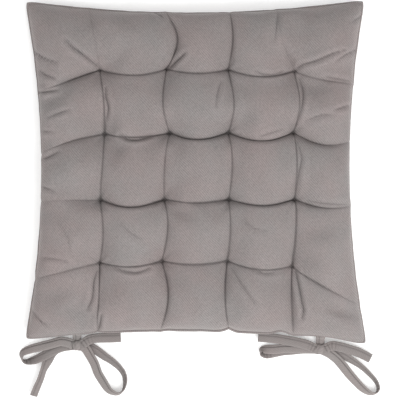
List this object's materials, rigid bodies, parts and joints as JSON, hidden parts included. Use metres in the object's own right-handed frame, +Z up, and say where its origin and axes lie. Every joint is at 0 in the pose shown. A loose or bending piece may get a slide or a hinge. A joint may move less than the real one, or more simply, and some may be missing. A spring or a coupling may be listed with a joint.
{
  "type": "chair seat pad",
  "caption": "Square quilted seat pad with tufted pillows, pulled-in sides and self-fabric ties knotted in a bow at the rear corners, for use on a chair seat.",
  "frame": {"origin": "centre of the pad's box at the surface that it lies on", "axes": "+Z up through the pad, +X to the right, -Y towards the rear edge where the ties are sewn in"},
  "size_m": [0.428, 0.4696, 0.0454],
  "materials": {
    "cover_fabric": "soft matt cotton twill, taupe grey",
    "seam_roll": "overlocked seam in the cover fabric",
    "tie_tape": "folded and top-stitched tape in the cover fabric",
    "tufting_thread": "strong polyester thread, taupe grey",
    "filling": "loose white polyester fibre"
  },
  "bodies": {
    "pad": {"top_cover": "cover_fabric", "bottom_cover": "cover_fabric", "fibre_fill": "filling", "edge_seam": "seam_roll", "tuft_r1_c1": "tufting_thread", "tuft_r1_c2": "tufting_thread", "tuft_r1_c3": "tufting_thread", "tuft_r1_c4": "tufting_thread", "tuft_r2_c1": "tufting_thread", "tuft_r2_c2": "tufting_thread", "tuft_r2_c3": "tufting_thread", "tuft_r2_c4": "tufting_thread", "tuft_r3_c1": "tufting_thread", "tuft_r3_c2": "tufting_thread", "tuft_r3_c3": "tufting_thread", "tuft_r3_c4": "tufting_thread", "tuft_r4_c1": "tufting_thread", "tuft_r4_c2": "tufting_thread", "tuft_r4_c3": "tufting_thread", "tuft_r4_c4": "tufting_thread", "left_tie_anchor": "tie_tape", "right_tie_anchor": "tie_tape"},
    "left_tie": {"left_tie_knot": "tie_tape", "left_tie_outer_loop": "tie_tape", "left_tie_outer_tail": "tie_tape", "left_tie_inner_loop": "tie_tape", "left_tie_inner_tail": "tie_tape"},
    "right_tie": {"right_tie_knot": "tie_tape", "right_tie_outer_loop": "tie_tape", "right_tie_outer_tail": "tie_tape", "right_tie_inner_loop": "tie_tape", "right_tie_inner_tail": "tie_tape"}
  },
  "joints": [
    {"name": "left_tie_swing", "type": "hinge", "parent": "pad", "child": "left_tie", "pos_m": [-0.141, -0.19944, 0.006], "axis": [1, 0, 0], "range_deg": [-80, 90]},
    {"name": "right_tie_swing", "type": "hinge", "parent": "pad", "child": "right_tie", "pos_m": [0.148, -0.20381, 0.006], "axis": [1, 0, 0], "range_deg": [-80, 90]}
  ]
}
